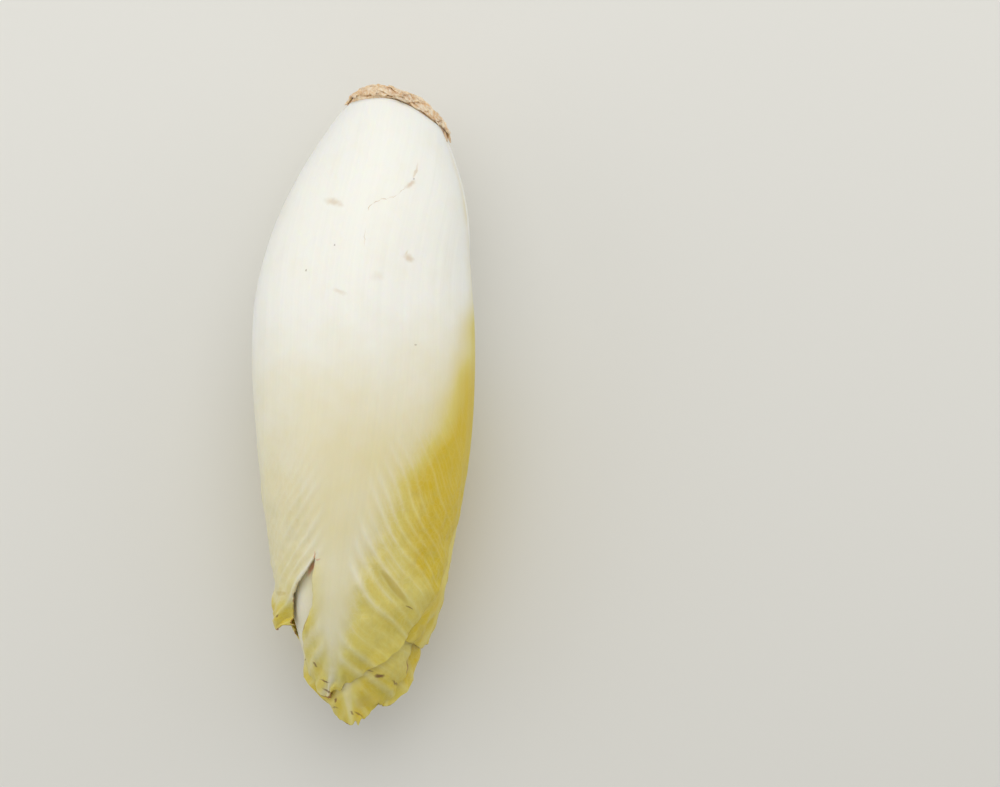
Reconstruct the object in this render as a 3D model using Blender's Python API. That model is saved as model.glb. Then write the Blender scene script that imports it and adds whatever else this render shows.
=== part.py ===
"""Belgian endive: a head of broad leaves wrapped round a short stem, lying on its side.

Metres, +Z up. The head lies along Y, with its cut butt at +Y and its tip at -Y, and its
outermost leaf faces straight up. The origin is on the ground under the middle of the head.

Every surface is given as a radius about the head's gently bent axis. A place on it has a
turn, the angle from straight up towards +X, and a reach, the distance from the butt end.
The leaves are laid from the outside in. Each fills the room that the leaves round it have
left, so that they nest as in a real head and never cross.
"""

import math
from collections import namedtuple

import bmesh
import bpy
import numpy as np

# The head as a whole
HEAD_LENGTH = 0.1785
HEAD_RADIUS = 0.0311
HEAD_FLATNESS = 0.965           # height over width of a cross-section
REST_DEPTH = 0.0018             # how far the underside is pressed flat where it rests
AXIS_HEIGHT = HEAD_RADIUS * HEAD_FLATNESS - REST_DEPTH
AXIS_SLOPE = 0.030              # the head lies on its weight, a little down at the tip
WEIGHT_REACH = 0.080            # reach of its centre of mass
BUTT_BEND = 0.0094              # sideways bend of the axis at the butt
BUTT_BEND_REACH = 0.062
BUTT_TILT = math.radians(16)    # lean of the cut end
TIP_BEND = -0.0020              # sideways bend of the axis at the tip
TIP_DROOP = 0.0025
DROOP_SPAN = (0.6 * HEAD_LENGTH, 1.1 * HEAD_LENGTH)
CENTRE_X = 0.0                  # brings the middle of the head over the origin
CENTRE_Y = 0.0006

# Outline of the head: fraction of its length, fraction of its radius
PROFILE = (
    (0.000, 0.17), (0.012, 0.27), (0.028, 0.36), (0.050, 0.455), (0.098, 0.610),
    (0.128, 0.692), (0.200, 0.842), (0.270, 0.930), (0.343, 0.985), (0.415, 1.000),
    (0.490, 0.990), (0.568, 0.957), (0.647, 0.900), (0.725, 0.826), (0.804, 0.752),
    (0.882, 0.600), (0.940, 0.430), (1.000, 0.270),
)

# Half-width of a leaf as it wraps round the head: fraction of its length, of its spread
LEAF_SPREAD = math.radians(80)
POINTED = (
    (0.00, 0.68), (0.12, 0.86), (0.35, 1.00), (0.70, 1.00), (0.82, 0.88),
    (0.91, 0.64), (0.97, 0.36), (1.00, 0.12),
)
BROAD = (
    (0.00, 0.88), (0.12, 0.94), (0.35, 1.00), (0.70, 1.00), (0.82, 0.90),
    (0.91, 0.70), (0.97, 0.42), (1.00, 0.14),
)
BLUNT = (
    (0.00, 0.86), (0.12, 0.92), (0.35, 1.00), (0.70, 1.00), (0.85, 0.98),
    (0.93, 0.90), (0.975, 0.64), (1.00, 0.30),
)

# Leaves, outermost first, each a golden-angle turn on from the one before.
# Reach of the tip, swing of the tip sideways in degrees, how far the tip closes in, outline
LEAVES = (
    (0.1700, 0, 0.00, POINTED),
    (0.1630, 10, 0.08, BROAD),
    (0.1565, -6, 0.00, BLUNT),
    (0.1785, 42, 0.00, BLUNT),
    (0.1675, -8, 0.24, POINTED),
    (0.1730, 22, 0.00, POINTED),
    (0.1675, 12, 0.32, POINTED),
    (0.1695, -10, 0.38, POINTED),
    (0.1705, 15, 0.46, POINTED),
    (0.1690, 0, 0.58, POINTED),
    (0.1675, -12, 0.64, POINTED),
    (0.1665, 10, 0.70, POINTED),
    (0.1650, 0, 0.76, POINTED),
    (0.1635, 8, 0.80, POINTED),
)
TIP_ROUNDING = 0.004            # how far a tip of full width falls back at its corners
GOLDEN_TURN = math.radians(-137.5)
GAP = 0.00042                   # clear space between one leaf and the next
BASE_FRONT = 0.0048             # where leaf bases start, above and below
BASE_SIDE = 0.0040              # how much later they start at the sides
BASE_STEP = 0.0019              # each leaf starts this much further up the stem
CLOSING_START = 0.62            # share of its length at which a leaf starts to close in
SWING_START = 0.5
OUTER_LEAVES = 6                # these are finely divided, and more strongly waved
OUTER_GRID = (20, 12)           # rows and columns
INNER_GRID = (11, 8)
# Thickness along the middle and along the edges of a leaf
BODY_CURVE = (
    (0.00, 0.0022), (0.10, 0.0030), (0.25, 0.0038), (0.50, 0.0031), (0.75, 0.0018),
    (0.90, 0.0012), (1.00, 0.0009),
)
EDGE_THICKNESS = 0.0009
MIDRIB_FALL = 2.5               # how squarely a leaf keeps its thickness out to its edges
# Waves in and out along the free edges, and the unevenness of the edges themselves
OUTER_RUFFLE = 0.0013
INNER_RUFFLE = 0.0006
RUFFLE_WAVES = 7.3              # along a whole leaf
RUFFLE_SPAN = (0.62, 0.95)      # share of a leaf's length over which they grow
UNEVEN_WAVES = 3.1
UNEVEN_DEPTH = 0.025            # as a share of a leaf's half-width
JAG_WAVES = 17.0
JAG_DEPTH = 0.10
JAG_SPAN = (0.6, 1.0)

# The first leaf: its edges and the tear in it, as turns in degrees along its length
TEAR_START = 0.755
ROWS_ABOVE_TEAR = 13
ROWS_BELOW_TEAR = 9
LOBE_COLUMNS = 6
BLADE_COLUMNS = 10
LOBE_SIDE = -0.25               # where the seam lies across the leaf, from -1 to 1
FIRST_RIGHT = (
    (0.000, 70), (0.14, 78), (0.33, 84), (0.57, 84), (0.755, 78), (0.82, 64),
    (0.877, 49), (0.92, 37), (0.957, 12), (0.985, -18), (1.000, -36),
)
FIRST_LEFT = ((0.000, -72), (0.14, -80), (0.33, -86), (0.57, -88), (0.755, -92), (1.0, -99))
FIRST_SEAM = (
    (0.000, -16), (0.50, -20), (0.755, -26), (0.79, -29), (0.837, -31), (0.877, -40),
    (0.923, -54), (0.965, -68), (1.000, -50),
)
LOBE_SEAM = ((0.755, -26), (0.81, -34), (0.90, -50), (0.95, -58), (1.00, -64))
LOBE_REACH = 0.1500             # where the torn-off lobe ends
EAR_REACH = 0.0030              # how much further its ear hangs
EAR_FLARE = 0.0034              # how far the ear stands out
EAR_SPAN = (0.88, 1.0)          # share of the lobe's length over which it does
EAR_SIDE = -0.6                 # and where across the leaf it does so fully

# A leaf whose right corner stands out at the tip
CORNER_LEAF = 6
CORNER_FLARE = 0.0014
CORNER_SPAN = (0.88, 1.0)       # share of its length over which it stands out
CORNER_SIDE = (0.0, 0.8)        # and share of its half-width

# The stem inside, and the heart on top of it
STEM_SIDES = 30
BUTT_RINGS = ((0.06, 0.4), (0.30, 1.0), (0.62, 0.8), (1.00, 0.0))   # place, raggedness
RAGS = ((5, 0.6, 0.0007), (8, 0.0, 0.0004), (11, 0.0, 0.0005))     # waves, phase, height
RAG_REACH = 0.3                 # share of the raggedness that runs lengthways
CUT_RADIUS = 0.0030
CUT_REACH = 0.0009
SHOULDER_RISE = (               # turn in degrees, how much later the leaf bases start there
    (0, 0.0), (74, 0.0), (84, 0.0033), (133, 0.0033), (144, 0.0014), (282, 0.0014),
    (290, 0.0), (360, 0.0),
)
STEM_CORE = (
    (0.000, 0.0078), (0.008, 0.0074), (0.018, 0.0050), (0.030, 0.0025), (0.042, 0.0015),
)
STEM_RINGS = (0.0140, 0.0200, 0.0270, 0.0340, 0.0400)
STEM_TOP = 0.042
HEART_BASE = 0.0445
HEART_TIP = 0.148
HEART_CLOSING = 0.50            # how far its tip draws in
HEART_SIDES = 14
HEART_ROWS = 14
HEART_GAP = 1.5 * GAP
LEAST_RADIUS = 0.0012           # leaves stay clear of the head's very axis

# Map of how deep the leaves laid so far reach below the head's form, over turn and reach
TURN_CELLS = 180
REACH_CELLS = 124
TURN_SPAN = 4                   # cells over which a leaf smooths out what lies on it
REACH_SPAN = 4
FREE_ROOM = 0.0030              # room allowed outside the head's own form
UNDER_STEP = 0.0006             # how far the third and later leaves lie below that form
FILL_STEPS = 8                  # how finely a leaf is entered in the map
SAG_SHARE = 0.62                # allowance for flat facets, as a share of their angle
MERGE = 1e-7

Leaf = namedtuple("Leaf", "number turn swing base tip closing outline ruffle rows columns")


def curve(points, x):
    """Smooth curve through a few points."""
    xs, ys = np.array(points, dtype=float).T
    x = np.clip(x, xs[0], xs[-1])
    slopes = np.gradient(ys, xs)
    cell = np.clip(np.searchsorted(xs, x, side="right") - 1, 0, len(xs) - 2)
    width = xs[cell + 1] - xs[cell]
    t = (x - xs[cell]) / width
    start = (2 * t**3 - 3 * t**2 + 1) * ys[cell] + (t**3 - 2 * t**2 + t) * width * slopes[cell]
    end = (3 * t**2 - 2 * t**3) * ys[cell + 1] + (t**3 - t**2) * width * slopes[cell + 1]
    return start + end


def ramp(low, high, x):
    """0 below low, 1 above high, smooth between."""
    t = np.clip((x - low) / (high - low), 0.0, 1.0)
    return t * t * (3 - 2 * t)


# The head's axis and outer form

def axis_height(reach):
    droop = TIP_DROOP * ramp(*DROOP_SPAN, reach)
    return AXIS_HEIGHT + AXIS_SLOPE * (WEIGHT_REACH - reach) - droop


def axis_shift(reach):
    butt = BUTT_BEND * (1 + np.cos(math.pi * np.minimum(reach / BUTT_BEND_REACH, 1.0))) / 2
    return butt + TIP_BEND * ramp(0.5 * HEAD_LENGTH, HEAD_LENGTH, reach)


def head_radius(turn, reach):
    """Outer form of the head, pressed flat underneath where it rests."""
    radius = HEAD_RADIUS * curve(PROFILE, reach / HEAD_LENGTH)
    down = np.maximum(-np.cos(turn), 0.01)
    return np.minimum(radius, axis_height(reach) / (HEAD_FLATNESS * down))


def place(turn, reach, radius):
    """World place of a point on the head, as an array of x, y, z."""
    across = radius * np.sin(turn)
    tilt = BUTT_TILT * (1 - ramp(0.0, BUTT_BEND_REACH, reach))
    x = axis_shift(reach) + across * np.cos(tilt) - CENTRE_X
    y = HEAD_LENGTH / 2 - reach - across * np.sin(tilt) - CENTRE_Y
    z = axis_height(reach) + radius * np.cos(turn) * HEAD_FLATNESS
    return np.stack([x, y, z], axis=-1)


def base_line(turn):
    """Reach at which leaf bases start round the butt."""
    return BASE_FRONT + BASE_SIDE * np.sin(turn) ** 2


def shoulder_line(turn):
    """Reach at which the stem steps in under the leaf bases."""
    degrees = np.degrees(np.mod(turn, 2 * math.pi))
    return base_line(turn) - GAP + np.interp(degrees, *zip(*SHOULDER_RISE))


# How deep the leaves laid so far reach

def windowed(depth, pick):
    """The pick, greatest or mean, of each cell's surroundings. Turns wrap round."""
    turned = [np.roll(depth, shift, axis=0) for shift in range(-TURN_SPAN, TURN_SPAN + 1)]
    depth = pick(np.stack(turned), axis=0)
    padded = np.pad(depth, ((0, 0), (REACH_SPAN, REACH_SPAN)), mode="edge")
    cells = depth.shape[1]
    slid = [padded[:, shift:shift + cells] for shift in range(2 * REACH_SPAN + 1)]
    return pick(np.stack(slid), axis=0)


def room_radius(depth, turn, reach):
    """Radius left free at any place, blended between the map's cells."""
    across = np.mod(turn / (2 * math.pi), 1.0) * TURN_CELLS
    along = np.clip(reach / HEAD_LENGTH, 0.0, 1.0) * (REACH_CELLS - 1)
    i = np.floor(across).astype(int) % TURN_CELLS
    j = np.clip(np.floor(along).astype(int), 0, REACH_CELLS - 2)
    a = across - np.floor(across)
    b = along - j
    k = (i + 1) % TURN_CELLS
    near = depth[i, j] * (1 - b) + depth[i, j + 1] * b
    far = depth[k, j] * (1 - b) + depth[k, j + 1] * b
    return head_radius(turn, reach) - near * (1 - a) - far * a


def finer(grid, times):
    """A grid of values with straight-line steps put in between."""
    for axis in (0, 1):
        count = grid.shape[axis]
        at = np.linspace(0, count - 1, (count - 1) * times + 1)
        low = np.minimum(at.astype(int), count - 2)
        part = at - low
        part = part[:, None] if axis == 0 else part[None, :]
        grid = grid.take(low, axis) * (1 - part) + grid.take(low + 1, axis) * part
    return grid


def press(depth, turn, reach, radius):
    """Note in the map that a leaf's inner face is here."""
    step = np.maximum(*np.abs(np.gradient(turn)))
    radius = finer(radius * np.cos(SAG_SHARE * step), FILL_STEPS)
    turn, reach = finer(turn, FILL_STEPS), finer(reach, FILL_STEPS)
    below = head_radius(turn, reach) - radius
    i = np.round(turn / (2 * math.pi) * TURN_CELLS).astype(int) % TURN_CELLS
    j = np.round(reach / HEAD_LENGTH * (REACH_CELLS - 1)).astype(int)
    np.maximum.at(depth, (i, j.clip(0, REACH_CELLS - 1)), below)


# Leaves

def leaf_plan():
    """Every leaf's place in the spiral, outermost first."""
    plan = []
    for index, (tip, swing, closing, outline) in enumerate(LEAVES):
        outer = index < OUTER_LEAVES
        rows, columns = OUTER_GRID if outer else INNER_GRID
        plan.append(Leaf(
            number=index + 1,
            turn=GOLDEN_TURN * index,
            swing=math.radians(swing),
            base=BASE_STEP * index,
            tip=tip,
            closing=closing,
            outline=outline,
            ruffle=OUTER_RUFFLE if outer else INNER_RUFFLE,
            rows=rows,
            columns=columns,
        ))
    return plan


def row_steps(rows, bend=0.70, share=0.5):
    """Fractions along a leaf, closer together in its tip than in its body."""
    low = int(rows * share)
    body = np.linspace(0.0, bend, low + 1)
    return np.concatenate([body, np.linspace(bend, 1.0, rows - low + 1)[1:]])


def thickness(u, v):
    """Thick along the middle, thin along the edges, thinner towards the tip."""
    body = curve(BODY_CURVE, v)
    return EDGE_THICKNESS + (body - EDGE_THICKNESS).clip(0) * (1 - np.abs(u) ** MIDRIB_FALL)


def ruffle(leaf, u, v):
    """Waves along the free edges, growing towards the tip."""
    side = np.where(u < 0, 1.7, 0.0)
    wave = np.sin(2 * math.pi * RUFFLE_WAVES * v + leaf.number * 2.1 + side)
    return leaf.ruffle * np.abs(u) ** 2 * ramp(*RUFFLE_SPAN, v) * wave


def jag(leaf, u, v):
    """Uneven edge: how far the outline strays, as a share of the half-width."""
    phase = leaf.number * 1.3 + np.where(u < 0, 2.4, 0.0)
    slow = UNEVEN_DEPTH * np.sin(2 * math.pi * UNEVEN_WAVES * v + phase)
    quick = JAG_DEPTH * np.sin(2 * math.pi * JAG_WAVES * v + 2 * phase)
    return slow + quick * ramp(*JAG_SPAN, v)


def plain_panel(leaf):
    """A whole leaf as a grid of u across, v along, turn and reach."""
    v, u = np.meshgrid(row_steps(leaf.rows), np.linspace(-1, 1, leaf.columns + 1), indexing="ij")
    half = LEAF_SPREAD * curve(leaf.outline, v) * (1 + jag(leaf, u, v))
    turn = leaf.turn + leaf.swing * ramp(SWING_START, 1.0, v) + half * u
    base = base_line(turn) + leaf.base
    corners = TIP_ROUNDING * leaf.outline[-1][1] * u**2
    reach = base + (leaf.tip - corners - base) * v
    return u, v, turn, reach


def torn_panel(leaf, steps, sides, across, end):
    """One part of the first leaf between two edge lines. Past the tear it runs on to end."""
    share = (across - across[0]) / (across[-1] - across[0])
    turn = sides[0] + (sides[1] - sides[0]) * share
    v, u = np.meshgrid(steps, across, indexing="ij")
    base = base_line(turn) + leaf.base
    start = base + (leaf.tip - base) * np.minimum(v, TEAR_START)
    past = ((v - TEAR_START) / (1 - TEAR_START)).clip(0)
    return u, v, turn, start + (end - start) * past


def first_leaf_panels(leaf):
    """The first leaf in two panels, which part at the tear: the lobe and the main blade."""
    above = np.linspace(0.0, TEAR_START, ROWS_ABOVE_TEAR + 1)
    below = np.linspace(TEAR_START, 1.0, ROWS_BELOW_TEAR + 1)
    steps = np.concatenate([above, below[1:]])
    lines = (FIRST_LEFT, FIRST_SEAM, LOBE_SEAM, FIRST_RIGHT)
    left, seam, torn, right = (np.radians(curve(line, steps))[:, None] for line in lines)
    lobe_seam = np.where(steps[:, None] > TEAR_START, torn, seam)
    lobe_across = np.linspace(-1.0, LOBE_SIDE, LOBE_COLUMNS + 1)
    blade_across = np.linspace(LOBE_SIDE, 1.0, BLADE_COLUMNS + 1)
    ear = np.sin(math.pi * (lobe_across + 1) / (LOBE_SIDE + 1)) ** 2
    return [
        torn_panel(leaf, steps, (left, lobe_seam), lobe_across, LOBE_REACH + EAR_REACH * ear),
        torn_panel(leaf, steps, (seam, right), blade_across, leaf.tip),
    ]


def leaf_radii(leaf, depth, panel):
    """Outer and inner radius over a panel, within the room that is left."""
    u, v, turn, reach = panel
    outer = head_radius(turn, reach) * (1 - leaf.closing * ramp(CLOSING_START, 1.0, v))
    outer = outer + ruffle(leaf, u, v)
    if leaf.number == 1:
        outer = outer + EAR_FLARE * ramp(*EAR_SPAN, v) * ramp(LOBE_SIDE, EAR_SIDE, u)
    if leaf.number == CORNER_LEAF:
        outer = outer + CORNER_FLARE * ramp(*CORNER_SPAN, v) * ramp(*CORNER_SIDE, u)
    if leaf.number > 2:
        outer = outer - UNDER_STEP
    outer = np.minimum(outer, room_radius(depth, turn, reach) - GAP)
    core = np.where(reach < STEM_TOP + GAP, curve(STEM_CORE, reach) + GAP, LEAST_RADIUS)
    inner = np.maximum(outer - thickness(u, v), core)
    return outer, inner


def lay_leaf(leaf, depth, material):
    """Model one leaf and note the space it takes."""
    panels = first_leaf_panels(leaf) if leaf.number == 1 else [plain_panel(leaf)]
    smoothed = windowed(windowed(depth, np.max), np.mean)
    faces = []
    for panel in panels:
        outer, inner = leaf_radii(leaf, smoothed, panel)
        turn, reach = panel[2:]
        faces.append((place(turn, reach, outer), place(turn, reach, inner)))
        press(depth, turn, reach, inner)
    return thick_sheet(f"leaf_{leaf.number:02d}", faces, material)


def thick_sheet(name, panels, material):
    """A closed body between the outer and the inner face of one or more joined panels."""
    shape = bmesh.new()
    inner_place = shape.verts.layers.float_vector.new("inner")
    for outer, inner in panels:
        rows, columns = outer.shape[:2]
        grid = [[shape.verts.new(outer[i, j]) for j in range(columns)] for i in range(rows)]
        for i in range(rows):
            for j in range(columns):
                grid[i][j][inner_place] = inner[i, j]
        for i in range(rows - 1):
            for j in range(columns - 1):
                a, b = grid[i][j], grid[i][j + 1]
                c, d = grid[i + 1][j + 1], grid[i + 1][j]
                shape.faces.new((a, b, c))
                shape.faces.new((a, c, d))
    bmesh.ops.remove_doubles(shape, verts=shape.verts, dist=MERGE)
    rim = [edge for edge in shape.edges if edge.is_boundary]
    outer_faces = list(shape.faces)
    partner = {vert: shape.verts.new(vert[inner_place]) for vert in list(shape.verts)}
    for face in outer_faces:
        shape.faces.new([partner[vert] for vert in reversed(face.verts)])
    for edge in rim:
        loop = edge.link_loops[0]
        a, b = loop.vert, loop.link_loop_next.vert
        shape.faces.new((b, a, partner[a], partner[b]))
    return finish(name, shape, material)


# Stem and heart

def closed_rings(name, rings, start, end, material):
    """A closed body through rings of points, with a point at each end."""
    shape = bmesh.new()
    loops = [[shape.verts.new(point) for point in ring] for ring in rings]
    ends = (shape.verts.new(start), shape.verts.new(end))
    sides = len(loops[0])
    for low, high in zip(loops, loops[1:]):
        for k in range(sides):
            n = (k + 1) % sides
            shape.faces.new((low[k], low[n], high[n]))
            shape.faces.new((low[k], high[n], high[k]))
    for k in range(sides):
        n = (k + 1) % sides
        shape.faces.new((ends[0], loops[0][n], loops[0][k]))
        shape.faces.new((ends[1], loops[-1][k], loops[-1][n]))
    return finish(name, shape, material)


def make_stem(material):
    """Domed, ragged butt, a shoulder under the leaf bases, and the cone that carries them."""
    turn = np.arange(STEM_SIDES) * 2 * math.pi / STEM_SIDES
    shoulder = shoulder_line(turn)
    rags = sum(height * np.sin(waves * turn + phase) for waves, phase, height in RAGS)
    rings = [place(turn, CUT_REACH + RAG_REACH * rags, np.full_like(turn, CUT_RADIUS))]
    for share, ragged in BUTT_RINGS:
        reach = shoulder * share + RAG_REACH * rags * ragged
        rings.append(place(turn, reach, head_radius(turn, reach) + rags * ragged))
    rings.append(place(turn, shoulder, curve(STEM_CORE, shoulder)))
    for reach in STEM_RINGS:
        rings.append(place(turn, np.full_like(turn, reach), curve(STEM_CORE, reach)))
    start = place(0.0, CUT_REACH, 0.0)
    end = place(0.0, STEM_TOP, 0.0)
    return closed_rings("stem", rings, start, end, material)


def make_heart(depth, material):
    """The bud of youngest leaves, filling what room is left."""
    smoothed = windowed(windowed(depth, np.max), np.mean)
    turn = np.arange(HEART_SIDES) * 2 * math.pi / HEART_SIDES
    rings = []
    for share in np.linspace(0.02, 0.98, HEART_ROWS):
        reach = np.full_like(turn, HEART_BASE + (HEART_TIP - HEART_BASE) * share)
        free = room_radius(smoothed, turn, reach) - HEART_GAP
        fill = ramp(-0.1, 0.15, share) * (1 - HEART_CLOSING * ramp(0.5, 1.0, share))
        rings.append(place(turn, reach, free * fill))
    start = place(0.0, HEART_BASE, 0.0)
    end = place(0.0, HEART_TIP, 0.0)
    return closed_rings("heart", rings, start, end, material)


# Finish

def finish(name, shape, material):
    """Turn a bmesh into a named object with its material."""
    bmesh.ops.recalc_face_normals(shape, faces=shape.faces)
    mesh = bpy.data.meshes.new(name)
    shape.to_mesh(mesh)
    shape.free()
    mesh.shade_smooth()
    mesh.materials.append(material)
    piece = bpy.data.objects.new(name, mesh)
    bpy.context.scene.collection.objects.link(piece)
    return piece


def make_material(name, colour, roughness):
    material = bpy.data.materials.new(name)
    material.use_nodes = True
    shader = material.node_tree.nodes["Principled BSDF"]
    shader.inputs["Base Color"].default_value = (*colour, 1.0)
    shader.inputs["Roughness"].default_value = roughness
    shader.inputs["Metallic"].default_value = 0.0
    return material


def main():
    for old in list(bpy.data.objects):
        bpy.data.objects.remove(old)
    leaf_material = make_material("leaf", (0.83, 0.80, 0.55), 0.40)
    heart_material = make_material("heart", (0.86, 0.80, 0.42), 0.45)
    stem_material = make_material("stem", (0.55, 0.37, 0.20), 0.75)
    make_stem(stem_material)
    depth = np.full((TURN_CELLS, REACH_CELLS), -FREE_ROOM)
    for leaf in leaf_plan():
        lay_leaf(leaf, depth, leaf_material)
    make_heart(depth, heart_material)


main()
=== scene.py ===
# %% [markdown]
# # A head of belgian endive
#
# The real thing is a bud the length of a hand. Broad, thick leaves wrap round a short stem
# in a spiral, so tightly that only the outer faces, the edges and the tips show. It grows in
# the dark, which keeps the thick middles of the leaves white. Their thin edges and tips turn
# yellow, crinkle and tear. The stem is cut off, and its end dries brown.
#
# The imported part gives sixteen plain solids: a stem, fourteen leaves and the heart. Each of
# them is replaced here by a finer piece of the same form, with veins, crinkles, ragged
# edges, and the colours of the plant. Peeling shreds are added round the butt.

# %% Tools and the frame
import math

import bpy
import numpy as np
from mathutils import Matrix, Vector


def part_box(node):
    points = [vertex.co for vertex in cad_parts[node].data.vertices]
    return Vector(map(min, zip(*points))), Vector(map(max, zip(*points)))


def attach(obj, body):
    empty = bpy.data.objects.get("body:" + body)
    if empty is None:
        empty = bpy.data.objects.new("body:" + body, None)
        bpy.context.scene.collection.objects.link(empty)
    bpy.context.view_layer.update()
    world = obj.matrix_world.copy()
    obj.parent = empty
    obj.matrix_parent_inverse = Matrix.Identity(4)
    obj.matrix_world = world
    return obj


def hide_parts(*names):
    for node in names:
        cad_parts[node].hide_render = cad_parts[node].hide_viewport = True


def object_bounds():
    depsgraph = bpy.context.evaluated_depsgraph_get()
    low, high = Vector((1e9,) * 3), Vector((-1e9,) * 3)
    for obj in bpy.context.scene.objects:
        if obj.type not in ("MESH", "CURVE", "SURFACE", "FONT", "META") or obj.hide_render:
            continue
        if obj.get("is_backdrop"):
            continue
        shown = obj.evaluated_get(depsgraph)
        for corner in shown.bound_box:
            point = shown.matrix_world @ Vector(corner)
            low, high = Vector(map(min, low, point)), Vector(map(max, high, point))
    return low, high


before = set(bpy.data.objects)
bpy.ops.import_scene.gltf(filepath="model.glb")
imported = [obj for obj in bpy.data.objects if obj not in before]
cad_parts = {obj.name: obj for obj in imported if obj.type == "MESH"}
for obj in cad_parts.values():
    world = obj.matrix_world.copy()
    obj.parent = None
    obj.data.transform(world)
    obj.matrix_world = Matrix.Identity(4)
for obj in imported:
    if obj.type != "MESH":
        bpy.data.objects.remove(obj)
cad_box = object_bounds()
print("frame loaded, nodes:", len(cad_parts))

# %% [markdown]
# ## Smooth curves and soft noise
#
# Leaves have no straight lines, so most measures below are curves through a few points.
# Crinkles come from soft noise: random heights on a coarse grid, blended smoothly in
# between. The random numbers start from a fixed seed, so the head is the same each time.

# %% Curve, ramp and soft noise
NOISE_CELLS = 64


def curve(points, x):
    """Smooth curve through a few points."""
    xs, ys = np.array(points, dtype=float).T
    x = np.clip(x, xs[0], xs[-1])
    slopes = np.gradient(ys, xs)
    cell = np.clip(np.searchsorted(xs, x, side="right") - 1, 0, len(xs) - 2)
    width = xs[cell + 1] - xs[cell]
    t = (x - xs[cell]) / width
    start = (2 * t**3 - 3 * t**2 + 1) * ys[cell] + (t**3 - 2 * t**2 + t) * width * slopes[cell]
    end = (3 * t**2 - 2 * t**3) * ys[cell + 1] + (t**3 - t**2) * width * slopes[cell + 1]
    return start + end


def ramp(low, high, x):
    """0 below low, 1 above high, smooth between."""
    t = np.clip((x - low) / (high - low), 0.0, 1.0)
    return t * t * (3 - 2 * t)


def soft_noise(x, y, seed):
    """Smooth random heights from -1 to 1, one per unit of x and y."""
    heights = np.random.default_rng(seed).uniform(-1, 1, (NOISE_CELLS, NOISE_CELLS))
    i, j = np.floor(x).astype(int), np.floor(y).astype(int)
    a, b = ramp(0, 1, x - i), ramp(0, 1, y - j)
    corner = lambda di, dj: heights[(i + di) % NOISE_CELLS, (j + dj) % NOISE_CELLS]
    near = corner(0, 0) * (1 - b) + corner(0, 1) * b
    far = corner(1, 0) * (1 - b) + corner(1, 1) * b
    return near * (1 - a) + far * a


print("noise at one place:", float(soft_noise(np.array(1.5), np.array(2.5), 1)))

# %% [markdown]
# ## The head's form
#
# Every point on the head is named by a turn, a reach and a radius. The turn is the angle
# round the axis, from straight up. The reach is the distance from the butt. The axis bends a
# little to one side at the butt, where the leaves curve in towards the cut. This is how the
# solids are built too, so a finer piece made in the same way lies where its solid lies.

# %% Numbers of the head
HEAD_LENGTH = 0.1785
HEAD_RADIUS = 0.0311
HEAD_FLATNESS = 0.965
REST_DEPTH = 0.0018
AXIS_HEIGHT = HEAD_RADIUS * HEAD_FLATNESS - REST_DEPTH
AXIS_SLOPE = 0.030
WEIGHT_REACH = 0.080
BUTT_BEND = 0.0094
BUTT_BEND_REACH = 0.062
BUTT_TILT = math.radians(16)
TIP_BEND = -0.0020
TIP_DROOP = 0.0025
DROOP_SPAN = (0.6 * HEAD_LENGTH, 1.1 * HEAD_LENGTH)
CENTRE_Y = 0.0006
PROFILE = (
    (0.000, 0.17), (0.012, 0.27), (0.028, 0.36), (0.050, 0.455), (0.098, 0.610),
    (0.128, 0.692), (0.200, 0.842), (0.270, 0.930), (0.343, 0.985), (0.415, 1.000),
    (0.490, 0.990), (0.568, 0.957), (0.647, 0.900), (0.725, 0.826), (0.804, 0.752),
    (0.882, 0.600), (0.940, 0.430), (1.000, 0.270),
)


# %% Place a point on the head
def axis_height(reach):
    droop = TIP_DROOP * ramp(*DROOP_SPAN, reach)
    return AXIS_HEIGHT + AXIS_SLOPE * (WEIGHT_REACH - reach) - droop


def axis_shift(reach):
    butt = BUTT_BEND * (1 + np.cos(math.pi * np.minimum(reach / BUTT_BEND_REACH, 1.0))) / 2
    return butt + TIP_BEND * ramp(0.5 * HEAD_LENGTH, HEAD_LENGTH, reach)


def head_radius(turn, reach):
    """Outer form of the head, pressed flat underneath where it rests."""
    radius = HEAD_RADIUS * curve(PROFILE, reach / HEAD_LENGTH)
    down = np.maximum(-np.cos(turn), 0.01)
    return np.minimum(radius, axis_height(reach) / (HEAD_FLATNESS * down))


def place(turn, reach, radius):
    """World place of a point on the head, as an array of x, y, z."""
    across = radius * np.sin(turn)
    tilt = BUTT_TILT * (1 - ramp(0.0, BUTT_BEND_REACH, reach))
    x = axis_shift(reach) + across * np.cos(tilt)
    y = HEAD_LENGTH / 2 - reach - across * np.sin(tilt) - CENTRE_Y
    z = axis_height(reach) + radius * np.cos(turn) * HEAD_FLATNESS
    return np.stack([x, y, z], axis=-1)


print("head, mm:", 1000 * HEAD_LENGTH, "long,", 2000 * HEAD_RADIUS, "wide")

# %% [markdown]
# ## The spiral of leaves
#
# Each leaf starts a golden angle further round than the one outside it. It has the reach of
# its tip, a swing of the tip sideways, how far the tip closes in, and an outline. The first
# leaf is the one that faces up. It is torn on its left, so it gets edge lines of its own.

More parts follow.
